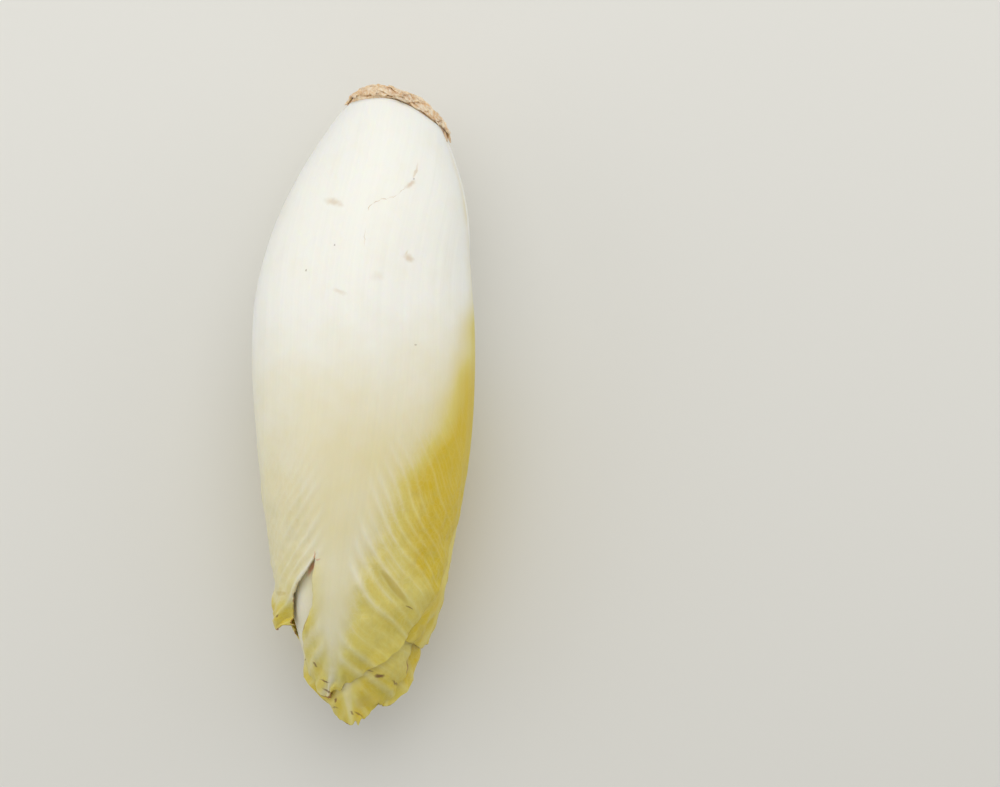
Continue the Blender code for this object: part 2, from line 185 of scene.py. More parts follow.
# %% Numbers of the leaves
LEAF_SPREAD = math.radians(80)
POINTED = (
    (0.00, 0.68), (0.12, 0.86), (0.35, 1.00), (0.70, 1.00), (0.82, 0.88),
    (0.91, 0.64), (0.97, 0.36), (1.00, 0.12),
)
BROAD = (
    (0.00, 0.88), (0.12, 0.94), (0.35, 1.00), (0.70, 1.00), (0.82, 0.90),
    (0.91, 0.70), (0.97, 0.42), (1.00, 0.14),
)
BLUNT = (
    (0.00, 0.86), (0.12, 0.92), (0.35, 1.00), (0.70, 1.00), (0.85, 0.98),
    (0.93, 0.90), (0.975, 0.64), (1.00, 0.30),
)
LEAVES = (
    # reach of the tip, swing in degrees, how far it closes in, outline
    (0.1700, 0, 0.00, POINTED), (0.1630, 10, 0.08, BROAD), (0.1565, -6, 0.00, BLUNT),
    (0.1785, 42, 0.00, BLUNT), (0.1675, -8, 0.24, POINTED), (0.1730, 22, 0.00, POINTED),
    (0.1675, 12, 0.32, POINTED), (0.1695, -10, 0.38, POINTED), (0.1705, 15, 0.46, POINTED),
    (0.1690, 0, 0.58, POINTED), (0.1675, -12, 0.64, POINTED), (0.1665, 10, 0.70, POINTED),
    (0.1650, 0, 0.76, POINTED), (0.1635, 8, 0.80, POINTED),
)
TIP_ROUNDING = 0.004
TEETH = ((0.0009, 9, 24), (0.00018, 26, 25))   # length, number per radian, seed
EDGE_ROUGHNESS = ((0.09, 46, 0, 21), (0.05, 120, 3, 22))   # share, steps along, shift, seed
SLOW_STRAY = (0.025, 3.1)   # share of the half-width, waves along
RAGGED_FROM = 0.6
CORNER_LEAF = 6
CORNER_FLARE = 0.0014
CORNER_SPAN = (0.88, 1.0)
CORNER_SIDE = (0.0, 0.8)
GOLDEN_TURN = math.radians(-137.5)
BASE_FRONT = 0.0048
BASE_SIDE = 0.0040
BASE_STEP = 0.0019
CLOSING_START = 0.62
SWING_START = 0.5
OUTER_LEAVES = 6
BODY_CURVE = (
    (0.00, 0.0022), (0.10, 0.0030), (0.25, 0.0038), (0.50, 0.0031), (0.75, 0.0018),
    (0.90, 0.0011), (1.00, 0.0006),
)
EDGE_THICKNESS = 0.0004
print("leaves:", len(LEAVES))

# %% Numbers of the torn first leaf
TEAR_START = 0.755
LOBE_SIDE = -0.25
FIRST_RIGHT = (
    (0.000, 70), (0.14, 78), (0.33, 84), (0.57, 84), (0.755, 78), (0.82, 64),
    (0.877, 49), (0.92, 37), (0.957, 12), (0.985, -18), (1.000, -36),
)
FIRST_LEFT = ((0.000, -72), (0.14, -80), (0.33, -86), (0.57, -88), (0.755, -92), (1.0, -99))
FIRST_SEAM = (
    (0.000, -16), (0.50, -20), (0.755, -26), (0.79, -29), (0.837, -31), (0.877, -40),
    (0.923, -54), (0.965, -68), (1.000, -50),
)
LOBE_SEAM = ((0.755, -26), (0.81, -34), (0.90, -50), (0.95, -56), (1.00, -56))
LOBE_REACH = 0.1500
EAR_REACH = 0.0018
EAR_FLARE = 0.0034
EAR_SPAN = (0.88, 1.0)
EAR_SIDE = -0.6
LOBE_CALM = 0.35
TEAR_REACH = 0.003
TEAR_RAGS = math.radians(1.0)
TEAR_THINNING = 0.6
LIP_LIFT = 0.0007
HALF_WIDTH = 0.030   # a leaf's, about, to turn u into metres near an edge
print("tear starts, mm from the butt:", round(1000 * TEAR_START * LEAVES[0][0]))


# %% Where a point of a leaf lies round and along the head
class Leaf:
    """A leaf's own numbers. Across it runs u, from -1 to 1, and along it v, from 0 to 1."""

    def __init__(self, index):
        self.number = index + 1
        self.tip, swing, self.closing, self.outline = LEAVES[index]
        self.name = f"leaf_{self.number:02d}"
        self.turn = GOLDEN_TURN * index
        self.swing = math.radians(swing)
        self.base = BASE_STEP * index
        self.outer = index < OUTER_LEAVES


def base_line(turn):
    """Reach at which leaf bases start round the butt."""
    return BASE_FRONT + BASE_SIDE * np.sin(turn) ** 2


def whole_leaf(leaf, u, v):
    """Turn and reach on a whole leaf."""
    half = LEAF_SPREAD * curve(leaf.outline, v) * (1 + jag(leaf, u, v))
    turn = leaf.turn + leaf.swing * ramp(SWING_START, 1.0, v) + half * u
    base = base_line(turn) + leaf.base
    corners = TIP_ROUNDING * leaf.outline[-1][1] * u ** 2
    return turn, base + (leaf.tip - corners - base) * v + ragged_end(leaf, turn, v)


def ragged_end(leaf, turn, v):
    """How far the end of a leaf strays, in metres."""
    strip = 3 * leaf.number + 0 * v
    teeth = sum(length * soft_noise(turn * often, strip, seed) for length, often, seed in TEETH)
    return teeth * ramp(0.86, 1.0, v)


def torn_leaf(leaf, u, v):
    """Turn and reach on the first leaf, whose left lobe is torn away from the tip."""
    lines = (FIRST_LEFT, FIRST_SEAM, LOBE_SEAM, FIRST_RIGHT)
    left, seam, torn, right = (np.radians(curve(line, v)) for line in lines)
    lobe = u < LOBE_SIDE
    share = np.where(lobe, (u + 1) / (LOBE_SIDE + 1), (u - LOBE_SIDE) / (1 - LOBE_SIDE))
    share = share.clip(0, 1)
    ragged = TEAR_RAGS * ramp(RAGGED_FROM, 1.0, v) * soft_noise(120 * v, 3 * u, 11)
    lobe_turn = left + (np.where(v > TEAR_START, torn, seam) - left) * share
    blade_turn = seam + (right + 1.6 * ragged - seam) * share
    turn = np.where(lobe, lobe_turn, blade_turn) + ragged * np.where(lobe, share, 1 - share)
    base = base_line(turn) + leaf.base
    start = base + (leaf.tip - base) * np.minimum(v, TEAR_START)
    past = ((v - TEAR_START) / (1 - TEAR_START)).clip(0)
    ear = np.where(lobe, np.sin(math.pi * share) ** 2, 0.0)
    end = np.where(lobe, LOBE_REACH + EAR_REACH * ear, leaf.tip)
    rags = ragged_end(leaf, turn, v) * np.where(lobe, LOBE_CALM, 1.0)
    return turn, start + (end - start) * past + rags


def tear_side(u, v):
    """1 along both sides of the first leaf's tear, 0 away from it."""
    near = np.exp(-((u - LOBE_SIDE) * HALF_WIDTH / TEAR_REACH) ** 2)
    return near * ramp(TEAR_START, 0.80, v)


def jag(leaf, u, v):
    """Uneven edge: how far the outline strays, as a share of the half-width."""
    size, waves = SLOW_STRAY
    slow = size * np.sin(2 * math.pi * waves * v + leaf.number * 1.3 + np.where(u < 0, 2.4, 0.0))
    side = 7 * leaf.number + np.where(u < 0, 30, 0)
    quick = sum(share * soft_noise(steps * v, side + shift, seed)
                for share, steps, shift, seed in EDGE_ROUGHNESS)
    return slow + quick * ramp(RAGGED_FROM, 1.0, v)


plan = [Leaf(index) for index in range(len(LEAVES))]
print("first leaf base, mm from the butt:", round(1000 * float(base_line(0.0)), 1))

# %% [markdown]
# ## Room for the next leaf
#
# Leaves nest without a gap to speak of, and never pass through each other. So they are laid
# from the outside in, and a map over turn and reach keeps how deep the leaves laid so far
# reach below the head's form. The next leaf lies just under that. The map is widened and
# smoothed first, because a thick leaf doesn't follow every step of the one outside it.

# %% The map and how it is read
GAP = 0.00016
TURN_CELLS = 240
REACH_CELLS = 180
TURN_SPAN = 5
REACH_SPAN = 5
FREE_ROOM = 0.0030
UNDER_STEP = 0.0003
CORE = ((0.000, 0.0078), (0.008, 0.0074), (0.018, 0.0050), (0.030, 0.0025), (0.042, 0.0015))
STEM_TOP = 0.042
LEAST_RADIUS = 0.0012
depth = np.full((TURN_CELLS, REACH_CELLS), -FREE_ROOM)


def windowed(grid, pick):
    """The pick, greatest or mean, of each cell's surroundings. Turns wrap round."""
    turned = [np.roll(grid, shift, axis=0) for shift in range(-TURN_SPAN, TURN_SPAN + 1)]
    grid = pick(np.stack(turned), axis=0)
    padded = np.pad(grid, ((0, 0), (REACH_SPAN, REACH_SPAN)), mode="edge")
    cells = grid.shape[1]
    slid = [padded[:, shift:shift + cells] for shift in range(2 * REACH_SPAN + 1)]
    return pick(np.stack(slid), axis=0)


def room_radius(grid, turn, reach):
    """Radius left free at any place, blended between the map's cells."""
    across = np.mod(turn / (2 * math.pi), 1.0) * TURN_CELLS
    along = np.clip(reach / HEAD_LENGTH, 0.0, 1.0) * (REACH_CELLS - 1)
    i = np.floor(across).astype(int) % TURN_CELLS
    j = np.clip(np.floor(along).astype(int), 0, REACH_CELLS - 2)
    a, b, k = across - np.floor(across), along - j, (i + 1) % TURN_CELLS
    near = grid[i, j] * (1 - b) + grid[i, j + 1] * b
    far = grid[k, j] * (1 - b) + grid[k, j + 1] * b
    return head_radius(turn, reach) - near * (1 - a) - far * a


def press(turn, reach, radius):
    """Note in the map that a leaf's inner face is here."""
    below = head_radius(turn, reach) - radius
    i = np.round(turn / (2 * math.pi) * TURN_CELLS).astype(int) % TURN_CELLS
    j = np.round(reach / HEAD_LENGTH * (REACH_CELLS - 1)).astype(int)
    np.maximum.at(depth, (i, j.clip(0, REACH_CELLS - 1)), below)


print("map cells:", depth.size)

# %% [markdown]
# ## Midrib, veins and crinkles
#
# A leaf's midrib is as wide as the leaf at the butt and runs out to a thread at the tip.
# Veins leave it at a slant, steeper near the butt. Between them the thin part of the leaf is
# crinkled, and its free edges wave. All of it is one height over the leaf's face, in metres.

# %% Midrib and veins
RIB = (
    (0.00, 0.026), (0.30, 0.023), (0.50, 0.0165), (0.62, 0.0098), (0.72, 0.0062),
    (0.81, 0.0042), (0.92, 0.0024), (1.00, 0.0009),
)
FIRST_RIB = (
    (0.0, 0), (0.50, -2), (0.65, -7.5), (0.75, -12.5), (0.82, -16), (0.88, -18.5),
    (0.94, -22), (0.97, -26), (1.0, -42),
)
VEIN_SLANT = ((0.00, 4.2), (0.08, 3.2), (0.115, 2.3), (0.140, 1.6), (0.162, 1.05), (0.18, 0.9))
VEIN_SPACING = 0.0078
VEIN_STRENGTH = np.random.default_rng(7).uniform(0.15, 1.0, 64)
VEIN_HEIGHT = 0.00075
VEIN_FADE = 0.015
KEEL_HEIGHT = 0.00045
ROUGHNESS = (
    # height, size across, size along, seed: puckers, crinkles, flutes, swells
    (0.00048, 0.0042, 0.0060, 32), (0.00018, 0.0014, 0.0020, 33),
    (0.00007, 0.0011, 0.055, 34), (0.00030, 0.011, 0.026, 35),
)
OUTER_WAVE = 0.0013
INNER_WAVE = 0.0008


def rib_distance(leaf, v, turn, reach):
    """Distance across the face from the middle of the midrib, negative on the left."""
    middle = leaf.turn + leaf.swing * ramp(SWING_START, 1.0, v)
    if leaf.number == 1:
        middle = np.radians(curve(FIRST_RIB, v))
    return (turn - middle) * head_radius(turn, reach)


def vein_count(leaf, across, reach):
    """Which vein passes here: a whole number on a vein, between two numbers beside it."""
    side = np.where(across < 0, 0.45, 0.0)
    wander = 0.40 * soft_noise(across / 0.009 + 9 * leaf.number, reach / 0.015, 31)
    start = reach - np.abs(across) * curve(VEIN_SLANT, reach)
    return start / VEIN_SPACING + side + wander


def vein_ridge(leaf, count, across, blade, v):
    """The main veins, 1 on a strong vein's crest. They fade into the blade."""
    number = np.round(count)
    off = np.abs(count - number) * VEIN_SPACING
    narrow = 0.0023 - 0.0009 * ramp(0.0, 0.018, np.abs(across))
    strength = VEIN_STRENGTH[(number.astype(int) * 5 + leaf.number * 11) % 64]
    fade = np.exp(-np.abs(across) / VEIN_FADE) * ramp(0.5, 1.3, blade) * ramp(0.42, 0.70, v)
    return strength * fade * np.exp(-(off / narrow) ** 2)


# %% Heights over a leaf's face
def leaf_relief(leaf, u, v, turn, reach):
    """Height over the plain leaf, and the measures that its colours follow."""
    across = rib_distance(leaf, v, turn, reach)
    rib = curve(RIB, v)
    blade = np.abs(across) / rib
    count = vein_count(leaf, across, reach)
    crest = vein_ridge(leaf, count, across, blade, v)
    veins = VEIN_HEIGHT * crest
    keel = KEEL_HEIGHT * np.exp(-(across / (0.75 * rib)) ** 2) * ramp(0.45, 0.75, v)
    pucker, crinkle, flutes, swell = (
        high * soft_noise(across / wide + 13 * leaf.number, reach / long, seed)
        for high, wide, long, seed in ROUGHNESS
    )
    pucker = pucker * (1 + 0.9 * ramp(0.84, 0.95, v))
    thin = (pucker + crinkle) * ramp(0.7, 1.9, blade) * ramp(0.50, 0.80, v)
    height = veins + keel + thin + flutes + swell * ramp(0, 0.3, v)
    return height + edge_waves(leaf, u, v), (across, blade, count, crest)


def edge_waves(leaf, u, v):
    """Waves in and out along the free edges, growing towards the tip."""
    side = np.where(u < 0, 1.7, 0.0)
    long_wave = np.sin(2 * math.pi * 7.3 * v + leaf.number * 2.1 + side)
    short = soft_noise(44 * v, 11 * leaf.number + 5 * side, 36)
    size = (OUTER_WAVE if leaf.outer else INNER_WAVE) * np.abs(u) ** 2 * ramp(0.62, 0.95, v)
    if leaf.number == 1:
        size = size * np.where(u < LOBE_SIDE, LOBE_CALM, 1.0)
    return size * (0.8 * long_wave + 0.5 * short)


def leaf_thickness(leaf, u, v):
    """Thick along the middle, thin along the edges, thinner towards the tip."""
    body = curve(BODY_CURVE, v)
    if leaf.number == 1:
        body = body * (1 - TEAR_THINNING * tear_side(u, v))
    return EDGE_THICKNESS + (body - EDGE_THICKNESS).clip(0) * (1 - np.abs(u) ** 2.5)


def leaf_faces(leaf, u, v, grid):
    """Turn, reach, outer and inner radius at any points of a leaf, with its measures."""
    turn, reach = (torn_leaf if leaf.number == 1 else whole_leaf)(leaf, u, v)
    height, measures = leaf_relief(leaf, u, v, turn, reach)
    outer = head_radius(turn, reach) * (1 - leaf.closing * ramp(CLOSING_START, 1.0, v))
    outer = outer + height
    if leaf.number == 1:
        outer = outer + EAR_FLARE * ramp(*EAR_SPAN, v) * ramp(LOBE_SIDE, EAR_SIDE, u)
        outer = outer + LIP_LIFT * tear_side(u, v) * (u > LOBE_SIDE) * (1 - ramp(0.88, 0.94, v))
        outer = outer + first_leaf_dents(turn, reach)
    if leaf.number == CORNER_LEAF:
        outer = outer + CORNER_FLARE * ramp(*CORNER_SPAN, v) * ramp(*CORNER_SIDE, u)
    if leaf.number > 2:
        outer = outer - UNDER_STEP
    floor = axis_height(reach) / (HEAD_FLATNESS * np.maximum(-np.cos(turn), 0.01))
    outer = np.minimum(outer, np.minimum(room_radius(grid, turn, reach) - GAP, floor))
    core = np.where(reach < STEM_TOP + GAP, curve(CORE, reach) + GAP, LEAST_RADIUS)
    inner = np.maximum(outer - leaf_thickness(leaf, u, v), core)
    return turn, reach, outer, inner, measures


# %% Dents of the first leaf
# turn, reach, half width, half length, depth
FOLD = (math.radians(19), 0.1385, 0.0022, 0.0062, 0.0011)
FOLD_SLANT = 0.60


def first_leaf_dents(turn, reach):
    """A short slanting fold, sunk to the right of the midrib."""
    middle, station, width, length, sunk = FOLD
    along = reach - station
    aside = (turn - middle) * head_radius(turn, reach) - FOLD_SLANT * along
    inside = (1 - (along / length) ** 2).clip(0)
    return -sunk * inside * np.exp(-(aside / (width * np.sqrt(inside + 0.01))) ** 4)


print("fold, mm from the butt:", 1000 * FOLD[1])

# %% [markdown]
# ## One leaf as a shaped slab
#
# A leaf is a thin closed slab. A grid is added and extruded once, which gives a flat slab
# with an upper face, a lower face and a wall round it. Each of its corners then knows how
# far across and along the leaf it is, and on which face, and moves to its place on the head.
# This keeps the mesh even and closed, which modelling each ripple by hand wouldn't.

# %% Make a flat slab
EDGE_CROWDING = 0.86
TIP_CROWDING = 0.55
SEAM_SLIT = 0.0002


def added(name, operator, **settings):
    """A new primitive, named, with nothing else selected."""
    bpy.ops.object.select_all(action="DESELECT")
    operator(**settings)
    return named(name)


def named(name):
    piece = bpy.context.object
    piece.name = piece.data.name = name
    return piece


def flat_grid(name, columns, rows):
    """A flat grid from -1 to 1 across and along."""
    return added(name, bpy.ops.mesh.primitive_grid_add, x_subdivisions=columns,
                 y_subdivisions=rows, size=2)


def edit_all(operator, **settings):
    """Use one edit mode operator on the whole of the active mesh."""
    bpy.ops.object.mode_set(mode="EDIT")
    bpy.ops.mesh.select_all(action="SELECT")
    operator(**settings)
    bpy.ops.object.mode_set(mode="OBJECT")


def joined(name, parts):
    """Join meshes to the last of them."""
    bpy.ops.object.select_all(action="DESELECT")
    for part in parts:
        part.select_set(True)
    bpy.context.view_layer.objects.active = parts[-1]
    bpy.ops.object.join()
    return named(name)


def corners(piece):
    """Every vertex of a mesh as rows of x, y, z."""
    flat = np.empty(3 * len(piece.data.vertices))
    piece.data.vertices.foreach_get("co", flat)
    return flat.reshape(-1, 3)


def set_corners(piece, places):
    piece.data.vertices.foreach_set("co", places.ravel())
    piece.data.update()


def split_grid(name, columns, rows):
    """A flat grid in two parts, side by side, that are joined only above the tear."""
    parts = []
    for low, high in ((-1.0, LOBE_SIDE - SEAM_SLIT), (LOBE_SIDE + SEAM_SLIT, 1.0)):
        count = max(4, round(columns * (high - low) / 2))
        part = flat_grid(name, count, rows)
        places = corners(part)
        places[:, 0] = low + (high - low) * (places[:, 0] + 1) / 2
        set_corners(part, places)
        parts.append(part)
    grid = joined(name, parts)
    places = corners(grid)
    seam = np.abs(places[:, 0] - LOBE_SIDE) < 2 * SEAM_SLIT
    chosen = seam & (spread_along((places[:, 1] + 1) / 2) <= TEAR_START)
    bpy.ops.object.mode_set(mode="EDIT")
    bpy.ops.mesh.select_all(action="DESELECT")
    bpy.ops.object.mode_set(mode="OBJECT")
    grid.data.vertices.foreach_set("select", chosen)
    bpy.ops.object.mode_set(mode="EDIT")
    bpy.ops.mesh.remove_doubles(threshold=3 * SEAM_SLIT)
    bpy.ops.object.mode_set(mode="OBJECT")
    return grid


def spread_along(share):
    """Rows crowd towards the tip, where the leaf is crinkled."""
    return share * (1 + TIP_CROWDING) - TIP_CROWDING * share ** 2


def spread_across(u):
    """Columns crowd towards the edges."""
    return np.sin(EDGE_CROWDING * u * math.pi / 2) / math.sin(EDGE_CROWDING * math.pi / 2)


# %% Give the slab the leaf's form
def keep(piece, **numbers):
    """Store numbers for every vertex, by name, for the materials to read."""
    for name, values in numbers.items():
        layer = piece.data.attributes.new(name, "FLOAT", "POINT")
        layer.data.foreach_set("value", values.astype(np.float32))


def shape_leaf(leaf, columns, rows):
    """Model one leaf, note its room in the map, and hand it to the frame."""
    torn = leaf.number == 1
    slab = (split_grid if torn else flat_grid)(f"endive_{leaf.name}", columns, rows)
    edit_all(bpy.ops.mesh.extrude_region_move, TRANSFORM_OT_translate={"value": (0, 0, -1)})
    flat = corners(slab)
    u = flat[:, 0] if torn else spread_across(flat[:, 0])
    v = spread_along((flat[:, 1] + 1) / 2)
    grid = windowed(windowed(depth, np.max), np.mean)
    turn, reach, outer, inner, (across, blade, count, crest) = leaf_faces(leaf, u, v, grid)
    upper = flat[:, 2] > -0.5
    set_corners(slab, place(turn, reach, np.where(upper, outer, inner)))
    rim = np.minimum((1 - np.abs(u)) * HALF_WIDTH, (1 - v) * leaf.tip)
    if torn:
        seam = np.abs(u - LOBE_SIDE) * HALF_WIDTH + np.maximum(TEAR_START - v, 0) * leaf.tip
        rim = np.minimum(rim, seam)
    crest = crest * CALM_VEINS.get(leaf.number, 1.0)
    # on the first leaf, gold also carries painted light and painted shade
    gold = leaf_gold(leaf, u, v, across, blade)
    keep(slab, along=v, blade=blade.clip(0, 8), vein=count, crest=crest, rim=rim * 1000,
         gold=gold, side=across * 1000)
    press_whole_leaf(leaf, grid)
    return finish_piece(slab, "leaf", leaf.name)


def press_whole_leaf(leaf, grid):
    """Enter a leaf in the map from an even, close net of points."""
    u, v = np.meshgrid(np.linspace(-1, 1, 300), np.linspace(0, 1, 500))
    turn, reach, _, inner, _ = leaf_faces(leaf, u, v, grid)
    press(turn, reach, inner)


def finish_piece(piece, slot, *nodes):
    bpy.ops.object.select_all(action="DESELECT")
    bpy.context.view_layer.objects.active = piece
    piece.select_set(True)
    edit_all(bpy.ops.mesh.normals_make_consistent, inside=False)
    bpy.ops.object.shade_smooth()
    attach(piece, "root")
    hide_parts(*nodes)
    return piece


# %% Where a leaf is yellow, with painted light and shade on the first leaf
FIRST_SIDES = ((-1.0, 0.15), (-0.3, 0.32), (0.2, 0.80), (0.6, 1.0), (1.0, 1.0))
# where the first leaf's right side turns deep yellow: its own yellow edge, with painted shade and
# a painted yellow reflection laid on it
RIGHT_YELLOW_AND_SHADE_FROM = (
    (0.28, 0.80), (0.35, 0.60), (0.40, 0.50), (0.45, 0.41), (0.50, 0.36), (0.55, 0.30),
    (0.60, 0.19), (0.66, 0.15), (0.71, 0.16), (0.76, 0.34), (0.81, 0.60), (0.86, 0.90),
    (1.0, 1.0),
)
RIGHT_YELLOW_AND_SHADE_WIDTH = 0.60
BASE_GOLD, TIP_GOLD, BLADE_GOLD, RIGHT_YELLOW_AND_SHADE_AMOUNT = 0.30, 0.22, 0.38, 0.72
INNER_BLADE_GOLD = 0.36
# painted light and shade on the first leaf: its left side paler, the right of its middle a darker
# cream
LEFT_PAINTED_LIGHT, RIGHT_PAINTED_SHADE, LOBE_GOLD, LIP_GOLD, CLOUDS = 0.07, 0.11, 0.34, 0.16, 0.12
EXTRA_GOLD = {
    # leaf: how much, and from where to where along it
    3: (0.50, 0.40, 0.85), 4: (0.26, 0.88, 0.97), 6: (0.36, 0.40, 0.85), 8: (0.20, 0.40, 0.85),
}
CALM_VEINS = {3: 0.35, 4: 0.60, 6: 0.35}
SHELTERED_LEAF = 4   # it shows white in the tear
TORN_EDGE = 0.0022


def leaf_gold(leaf, u, v, across, blade):
    """How yellow the leaf is: white midrib and butt, yellow edges and tip. On the first leaf it
    also holds painted light on the left side and painted shade on the right.
    """
    thin = ramp(0.6, 2.6, blade) * ramp(0.38, 0.80, v)
    cloud = soft_noise(across / 0.009 + 5 * leaf.number, v * 22, 41)
    gold = BASE_GOLD * ramp(0.32, 0.64, v)
    gold = gold + TIP_GOLD * ramp(0.80, 1.0, v) * ramp(0.2, 1.1, blade)
    if leaf.number == 1:
        lobe = u < LOBE_SIDE
        # deep yellow on the right: the leaf's own yellow with painted shade and painted reflection
        deep = ramp(0.0, RIGHT_YELLOW_AND_SHADE_WIDTH, u + 0.05 * cloud - curve(RIGHT_YELLOW_AND_SHADE_FROM, v))
        torn = np.exp(-((u - LOBE_SIDE) * HALF_WIDTH / TORN_EDGE) ** 2) * lobe
        # painted light: the left side, partway to the tip, is paler
        left = ramp(0.2, 0.7, -u) * ramp(0.45, 0.55, v) * (1 - ramp(0.68, 0.80, v))
        # painted shade: the right of the middle length is a darker cream
        right_shade = ramp(0.1, 0.8, u) * ramp(0.28, 0.45, v) * (1 - ramp(0.58, 0.70, v))
        lip = tear_side(u, v) * (u > LOBE_SIDE) * (1 - ramp(0.90, 0.95, v))
        torn = torn * ramp(0.72, 0.76, v)
        gold = gold + BLADE_GOLD * thin * curve(FIRST_SIDES, u) * (1 - torn) + RIGHT_YELLOW_AND_SHADE_AMOUNT * deep
        gold = gold + RIGHT_PAINTED_SHADE * right_shade - LEFT_PAINTED_LIGHT * left + LIP_GOLD * lip
        gold = gold + LOBE_GOLD * ramp(0.90, 0.95, v) * lobe
    else:
        amount, start, full = EXTRA_GOLD.get(leaf.number, (0.0, 0.4, 0.8))
        extra = amount * ramp(start, full, v) * (0.75 + 0.25 * ramp(0.3, 1.4, blade))
        bare = 1.0
        if leaf.number == SHELTERED_LEAF:
            bare = np.maximum(ramp(0.87, 0.95, v), ramp(-0.25, 0.15, u))
        gold = gold * (0.65 + 0.35 * bare) + INNER_BLADE_GOLD * thin * bare + extra
    return (gold * (1 + CLOUDS * cloud)).clip(0, 1)


# %% Lay the leaves from the outside in
leaves = []
for leaf in plan:
    size = (130, 260) if leaf.number == 1 else (104, 200) if leaf.outer else (56, 130)
    leaves.append(shape_leaf(leaf, *size))
    low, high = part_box(leaf.name)
    print(leaf.name, "faces:", len(leaves[-1].data.polygons), "tip at y, mm:",
          round(1000 * corners(leaves[-1])[:, 1].min(), 1), "solid's:", round(1000 * low.y, 1))

# %% [markdown]
# ## The heart
#
# The youngest leaves in the middle are too small to tell apart. They are one closed bud that
# fills the room left. A ball is added, and each of its rings becomes a ring of the bud.

# %% Heart
HEART_BASE = 0.0445
HEART_TIP = 0.148
HEART_CLOSING = 0.50
HEART_GAP = 1.5 * GAP


def ball_share(piece):
    """For each vertex of an upright unit ball: its turn, and how far down it is, 0 to 1."""
    places = corners(piece)
    down = np.arccos(places[:, 2].clip(-1, 1)) / math.pi
    return np.arctan2(places[:, 0], places[:, 1]), down


ball = bpy.ops.mesh.primitive_uv_sphere_add
heart = added("endive_heart", ball, segments=48, ring_count=80, radius=1)
turn, share = ball_share(heart)
reach = HEART_BASE + (HEART_TIP - HEART_BASE) * share
free = room_radius(windowed(windowed(depth, np.max), np.mean), turn, reach) - HEART_GAP
fill = ramp(-0.1, 0.15, share) * (1 - HEART_CLOSING * ramp(0.5, 1.0, share))
closed = np.sqrt((1 - (2 * share - 1) ** 2).clip(0) + 1e-9) ** 0.35
set_corners(heart, place(turn, reach, free * fill * closed))
keep(heart, along=share, blade=2 + 0 * share, vein=20 * share, side=8 * turn, crest=0 * share,
     rim=9 + 0 * share, gold=0.3 + 0.5 * share)
finish_piece(heart, "heart", "heart")
print("heart faces:", len(heart.data.polygons))

# %% [markdown]
# ## The stem and its cut butt
#
# The stem carries the leaves. Its butt is nearly a dome, cut across at the very end, where
# it has dried brown and frayed. A ball again gives a closed mesh, with most of its rings on
# the dome, where the fibres show.

# %% Stem
SHOULDER_RISE = (
    (0, 0.0), (74, 0.0), (84, 0.0033), (133, 0.0033), (144, 0.0014), (282, 0.0014),
    (290, 0.0), (360, 0.0),
)
SHOULDER_GAP = 0.00035
DOME_SHARE = 0.66
CUT_REACH = 0.0009
CUT_RADIUS = 0.0030
RAGS = ((5, 0.6, 0.0007), (8, 0.0, 0.0004), (11, 0.0, 0.0005))   # waves round, phase, height
FIBRES = ((0.00040, 17, 4, 51), (0.0002, 44, 9, 52))   # height, steps round, steps down, seed


def shoulder_line(turn):
    """Reach at which the stem steps in under the leaf bases."""
    degrees = np.degrees(np.mod(turn, 2 * math.pi))
    return base_line(turn) - SHOULDER_GAP + np.interp(degrees, *zip(*SHOULDER_RISE))


def dome_point(turn, share):
    """Turn and share of the dome to reach and radius, with frayed fibres."""
    shoulder = shoulder_line(turn)
    rags = sum(height * np.sin(waves * turn + phase) for waves, phase, height in RAGS)
    fringe = ramp(0.1, 0.4, share) * (1 - ramp(0.85, 1.0, share))
    fibres = sum(height * soft_noise(turn * around, share * down, seed)
                 for height, around, down, seed in FIBRES)
    reach = CUT_REACH + (shoulder - CUT_REACH) * share ** 1.5 + 0.3 * rags * fringe
    radius = head_radius(turn, reach) + (rags + fibres) * fringe - 0.0004 * (1 - fringe)
    middle = ramp(0.0, 0.20, share)
    return reach, radius * middle + CUT_RADIUS * np.sqrt(share / 0.12).clip(0, 1) * (1 - middle)


stem = added("endive_stem", ball, segments=160, ring_count=100, radius=1)
turn, share = ball_share(stem)
dome_reach, dome_radius = dome_point(turn, (share / DOME_SHARE).clip(0, 1))
inner = ((share - DOME_SHARE) / (1 - DOME_SHARE)).clip(0, 1)
core_reach = dome_reach + (STEM_TOP - dome_reach) * ramp(0.02, 1.0, inner)
core_radius = curve(CORE, core_reach) * np.sqrt((1 - inner ** 6).clip(0))
on_dome = share <= DOME_SHARE
reach = np.where(on_dome, dome_reach, core_reach)
radius = np.where(on_dome, dome_radius, core_radius)
set_corners(stem, place(turn, reach, radius))
keep(stem, cut=(share / DOME_SHARE).clip(0, 1.2), turn=turn)
finish_piece(stem, "stem", "stem")
print("stem faces:", len(stem.data.polygons), "rag waves:", [waves for waves, _, _ in RAGS])

# %% [markdown]
# ## Peel round the cut
#
# Round the cut the skin of the stem has dried into thin curled shreds. Each is a small grid
# laid along the dome, with its free end lifted, and Solidify gives it a thickness.

